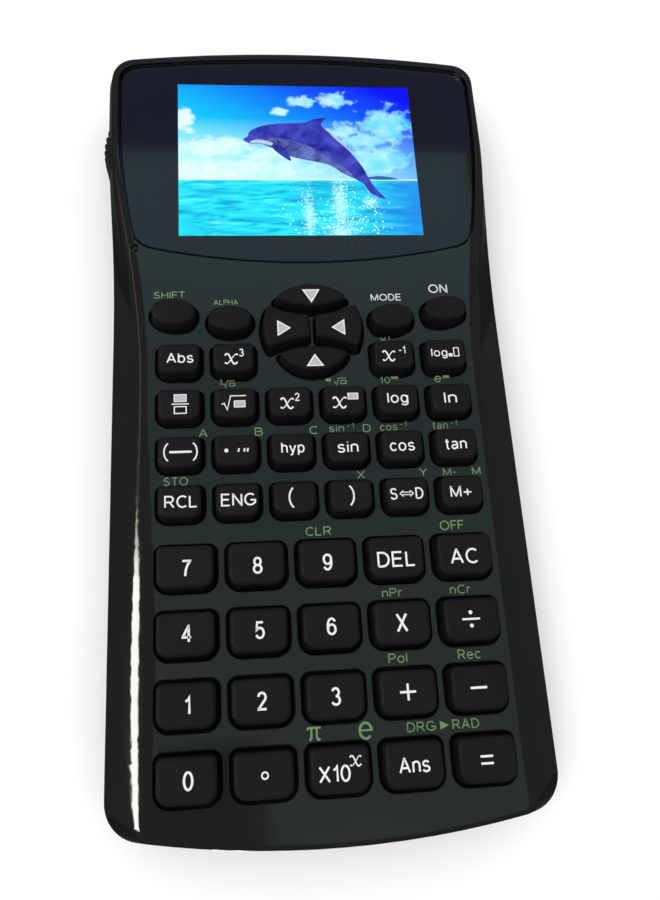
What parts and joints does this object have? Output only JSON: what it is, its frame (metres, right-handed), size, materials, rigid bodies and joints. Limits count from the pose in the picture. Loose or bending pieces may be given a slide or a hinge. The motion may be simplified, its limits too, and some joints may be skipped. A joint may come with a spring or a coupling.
{
  "type": "handheld calculator",
  "caption": "Handheld calculator with a colour picture screen under a flush smoked lens, a four-way key cluster, rows of sprung keys and a serrated side lever.",
  "frame": {"origin": "middle of the underside, on the plane the rubber feet rest on", "axes": "+Y runs to the screen end, +X to the right of the keys as read, +Z straight out of the key face"},
  "size_m": [0.0808, 0.1589, 0.0185],
  "materials": {
    "shell": "polished black moulding",
    "rear_shell": "fine spark texture",
    "lens": "smoked gloss sheet",
    "display": "lit display glass in a dark tray",
    "screen_image": "lit picture",
    "board": "green solder mask",
    "dome_rubber": "translucent grey silicone",
    "cell": "foil pouch",
    "screw": "black-plated steel",
    "foot_rubber": "matt rubber",
    "lever": "satin with moulded serrations",
    "keycap": "soft satin",
    "legend_white": "printed ink",
    "legend_green": "printed ink",
    "lens_print": "black print under the lens"
  },
  "bodies": {
    "case": {"front_housing": "shell", "rear_housing": "rear_shell", "display_lens": "lens", "lcd_module": "display", "circuit_board": "board", "keypad_membrane": "dome_rubber", "battery_pack": "cell", "case_screws": "screw", "rubber_feet": "foot_rubber"},
    "key_shift": {"key_shift": "keycap"},
    "key_alpha": {"key_alpha": "keycap"},
    "key_mode": {"key_mode": "keycap"},
    "key_on": {"key_on": "keycap"},
    "key_up": {"key_up": "keycap"},
    "key_down": {"key_down": "keycap"},
    "key_left": {"key_left": "keycap"},
    "key_right": {"key_right": "keycap"},
    "key_abs": {"key_abs": "keycap"},
    "key_cube": {"key_cube": "keycap"},
    "key_reciprocal": {"key_reciprocal": "keycap"},
    "key_log_base": {"key_log_base": "keycap"},
    "key_fraction": {"key_fraction": "keycap"},
    "key_root": {"key_root": "keycap"},
    "key_square": {"key_square": "keycap"},
    "key_power": {"key_power": "keycap"},
    "key_log": {"key_log": "keycap"},
    "key_ln": {"key_ln": "keycap"},
    "key_negate": {"key_negate": "keycap"},
    "key_degrees": {"key_degrees": "keycap"},
    "key_hyp": {"key_hyp": "keycap"},
    "key_sin": {"key_sin": "keycap"},
    "key_cos": {"key_cos": "keycap"},
    "key_tan": {"key_tan": "keycap"},
    "key_recall": {"key_recall": "keycap"},
    "key_eng": {"key_eng": "keycap"},
    "key_paren_open": {"key_paren_open": "keycap"},
    "key_paren_close": {"key_paren_close": "keycap"},
    "key_exchange": {"key_exchange": "keycap"},
    "key_memory": {"key_memory": "keycap"},
    "key_7": {"key_7": "keycap"},
    "key_8": {"key_8": "keycap"},
    "key_9": {"key_9": "keycap"},
    "key_delete": {"key_delete": "keycap"},
    "key_clear": {"key_clear": "keycap"},
    "key_4": {"key_4": "keycap"},
    "key_5": {"key_5": "keycap"},
    "key_6": {"key_6": "keycap"},
    "key_multiply": {"key_multiply": "keycap"},
    "key_divide": {"key_divide": "keycap"},
    "key_1": {"key_1": "keycap"},
    "key_2": {"key_2": "keycap"},
    "key_3": {"key_3": "keycap"},
    "key_plus": {"key_plus": "keycap"},
    "key_minus": {"key_minus": "keycap"},
    "key_0": {"key_0": "keycap"},
    "key_point": {"key_point": "keycap"},
    "key_exponent": {"key_exponent": "keycap"},
    "key_answer": {"key_answer": "keycap"},
    "key_equals": {"key_equals": "keycap"},
    "jog_lever": {"jog_lever": "lever"}
  },
  "joints": [
    {"name": "key_shift_press", "type": "slide", "parent": "case", "child": "key_shift", "axis": [0, 0, -1], "range_m": [0, 0.001], "stiffness_N_per_m": 400},
    {"name": "key_alpha_press", "type": "slide", "parent": "case", "child": "key_alpha", "axis": [0, 0, -1], "range_m": [0, 0.001], "stiffness_N_per_m": 400},
    {"name": "key_mode_press", "type": "slide", "parent": "case", "child": "key_mode", "axis": [0, 0, -1], "range_m": [0, 0.001], "stiffness_N_per_m": 400},
    {"name": "key_on_press", "type": "slide", "parent": "case", "child": "key_on", "axis": [0, 0, -1], "range_m": [0, 0.001], "stiffness_N_per_m": 400},
    {"name": "key_up_press", "type": "slide", "parent": "case", "child": "key_up", "axis": [0, 0, -1], "range_m": [0, 0.001], "stiffness_N_per_m": 400},
    {"name": "key_down_press", "type": "slide", "parent": "case", "child": "key_down", "axis": [0, 0, -1], "range_m": [0, 0.001], "stiffness_N_per_m": 400},
    {"name": "key_left_press", "type": "slide", "parent": "case", "child": "key_left", "axis": [0, 0, -1], "range_m": [0, 0.001], "stiffness_N_per_m": 400},
    {"name": "key_right_press", "type": "slide", "parent": "case", "child": "key_right", "axis": [0, 0, -1], "range_m": [0, 0.001], "stiffness_N_per_m": 400},
    {"name": "key_abs_press", "type": "slide", "parent": "case", "child": "key_abs", "axis": [0, 0, -1], "range_m": [0, 0.001], "stiffness_N_per_m": 400},
    {"name": "key_cube_press", "type": "slide", "parent": "case", "child": "key_cube", "axis": [0, 0, -1], "range_m": [0, 0.001], "stiffness_N_per_m": 400},
    {"name": "key_reciprocal_press", "type": "slide", "parent": "case", "child": "key_reciprocal", "axis": [0, 0, -1], "range_m": [0, 0.001], "stiffness_N_per_m": 400},
    {"name": "key_log_base_press", "type": "slide", "parent": "case", "child": "key_log_base", "axis": [0, 0, -1], "range_m": [0, 0.001], "stiffness_N_per_m": 400},
    {"name": "key_fraction_press", "type": "slide", "parent": "case", "child": "key_fraction", "axis": [0, 0, -1], "range_m": [0, 0.001], "stiffness_N_per_m": 400},
    {"name": "key_root_press", "type": "slide", "parent": "case", "child": "key_root", "axis": [0, 0, -1], "range_m": [0, 0.001], "stiffness_N_per_m": 400},
    {"name": "key_square_press", "type": "slide", "parent": "case", "child": "key_square", "axis": [0, 0, -1], "range_m": [0, 0.001], "stiffness_N_per_m": 400},
    {"name": "key_power_press", "type": "slide", "parent": "case", "child": "key_power", "axis": [0, 0, -1], "range_m": [0, 0.001], "stiffness_N_per_m": 400},
    {"name": "key_log_press", "type": "slide", "parent": "case", "child": "key_log", "axis": [0, 0, -1], "range_m": [0, 0.001], "stiffness_N_per_m": 400},
    {"name": "key_ln_press", "type": "slide", "parent": "case", "child": "key_ln", "axis": [0, 0, -1], "range_m": [0, 0.001], "stiffness_N_per_m": 400},
    {"name": "key_negate_press", "type": "slide", "parent": "case", "child": "key_negate", "axis": [0, 0, -1], "range_m": [0, 0.001], "stiffness_N_per_m": 400},
    {"name": "key_degrees_press", "type": "slide", "parent": "case", "child": "key_degrees", "axis": [0, 0, -1], "range_m": [0, 0.001], "stiffness_N_per_m": 400},
    {"name": "key_hyp_press", "type": "slide", "parent": "case", "child": "key_hyp", "axis": [0, 0, -1], "range_m": [0, 0.001], "stiffness_N_per_m": 400},
    {"name": "key_sin_press", "type": "slide", "parent": "case", "child": "key_sin", "axis": [0, 0, -1], "range_m": [0, 0.001], "stiffness_N_per_m": 400},
    {"name": "key_cos_press", "type": "slide", "parent": "case", "child": "key_cos", "axis": [0, 0, -1], "range_m": [0, 0.001], "stiffness_N_per_m": 400},
    {"name": "key_tan_press", "type": "slide", "parent": "case", "child": "key_tan", "axis": [0, 0, -1], "range_m": [0, 0.001], "stiffness_N_per_m": 400},
    {"name": "key_recall_press", "type": "slide", "parent": "case", "child": "key_recall", "axis": [0, 0, -1], "range_m": [0, 0.001], "stiffness_N_per_m": 400},
    {"name": "key_eng_press", "type": "slide", "parent": "case", "child": "key_eng", "axis": [0, 0, -1], "range_m": [0, 0.001], "stiffness_N_per_m": 400},
    {"name": "key_paren_open_press", "type": "slide", "parent": "case", "child": "key_paren_open", "axis": [0, 0, -1], "range_m": [0, 0.001], "stiffness_N_per_m": 400},
    {"name": "key_paren_close_press", "type": "slide", "parent": "case", "child": "key_paren_close", "axis": [0, 0, -1], "range_m": [0, 0.001], "stiffness_N_per_m": 400},
    {"name": "key_exchange_press", "type": "slide", "parent": "case", "child": "key_exchange", "axis": [0, 0, -1], "range_m": [0, 0.001], "stiffness_N_per_m": 400},
    {"name": "key_memory_press", "type": "slide", "parent": "case", "child": "key_memory", "axis": [0, 0, -1], "range_m": [0, 0.001], "stiffness_N_per_m": 400},
    {"name": "key_7_press", "type": "slide", "parent": "case", "child": "key_7", "axis": [0, 0, -1], "range_m": [0, 0.001], "stiffness_N_per_m": 400},
    {"name": "key_8_press", "type": "slide", "parent": "case", "child": "key_8", "axis": [0, 0, -1], "range_m": [0, 0.001], "stiffness_N_per_m": 400},
    {"name": "key_9_press", "type": "slide", "parent": "case", "child": "key_9", "axis": [0, 0, -1], "range_m": [0, 0.001], "stiffness_N_per_m": 400},
    {"name": "key_delete_press", "type": "slide", "parent": "case", "child": "key_delete", "axis": [0, 0, -1], "range_m": [0, 0.001], "stiffness_N_per_m": 400},
    {"name": "key_clear_press", "type": "slide", "parent": "case", "child": "key_clear", "axis": [0, 0, -1], "range_m": [0, 0.001], "stiffness_N_per_m": 400},
    {"name": "key_4_press", "type": "slide", "parent": "case", "child": "key_4", "axis": [0, 0, -1], "range_m": [0, 0.001], "stiffness_N_per_m": 400},
    {"name": "key_5_press", "type": "slide", "parent": "case", "child": "key_5", "axis": [0, 0, -1], "range_m": [0, 0.001], "stiffness_N_per_m": 400},
    {"name": "key_6_press", "type": "slide", "parent": "case", "child": "key_6", "axis": [0, 0, -1], "range_m": [0, 0.001], "stiffness_N_per_m": 400},
    {"name": "key_multiply_press", "type": "slide", "parent": "case", "child": "key_multiply", "axis": [0, 0, -1], "range_m": [0, 0.001], "stiffness_N_per_m": 400},
    {"name": "key_divide_press", "type": "slide", "parent": "case", "child": "key_divide", "axis": [0, 0, -1], "range_m": [0, 0.001], "stiffness_N_per_m": 400},
    {"name": "key_1_press", "type": "slide", "parent": "case", "child": "key_1", "axis": [0, 0, -1], "range_m": [0, 0.001], "stiffness_N_per_m": 400},
    {"name": "key_2_press", "type": "slide", "parent": "case", "child": "key_2", "axis": [0, 0, -1], "range_m": [0, 0.001], "stiffness_N_per_m": 400},
    {"name": "key_3_press", "type": "slide", "parent": "case", "child": "key_3", "axis": [0, 0, -1], "range_m": [0, 0.001], "stiffness_N_per_m": 400},
    {"name": "key_plus_press", "type": "slide", "parent": "case", "child": "key_plus", "axis": [0, 0, -1], "range_m": [0, 0.001], "stiffness_N_per_m": 400},
    {"name": "key_minus_press", "type": "slide", "parent": "case", "child": "key_minus", "axis": [0, 0, -1], "range_m": [0, 0.001], "stiffness_N_per_m": 400},
    {"name": "key_0_press", "type": "slide", "parent": "case", "child": "key_0", "axis": [0, 0, -1], "range_m": [0, 0.001], "stiffness_N_per_m": 400},
    {"name": "key_point_press", "type": "slide", "parent": "case", "child": "key_point", "axis": [0, 0, -1], "range_m": [0, 0.001], "stiffness_N_per_m": 400},
    {"name": "key_exponent_press", "type": "slide", "parent": "case", "child": "key_exponent", "axis": [0, 0, -1], "range_m": [0, 0.001], "stiffness_N_per_m": 400},
    {"name": "key_answer_press", "type": "slide", "parent": "case", "child": "key_answer", "axis": [0, 0, -1], "range_m": [0, 0.001], "stiffness_N_per_m": 400},
    {"name": "key_equals_press", "type": "slide", "parent": "case", "child": "key_equals", "axis": [0, 0, -1], "range_m": [0, 0.001], "stiffness_N_per_m": 400},
    {"name": "jog_lever_swing", "type": "hinge", "parent": "case", "child": "jog_lever", "pos_m": [-0.023, 0.057, 0.0066], "axis": [0, 0, 1], "range_deg": [-8, 8], "stiffness_Nm_per_rad": 0.05}
  ]
}
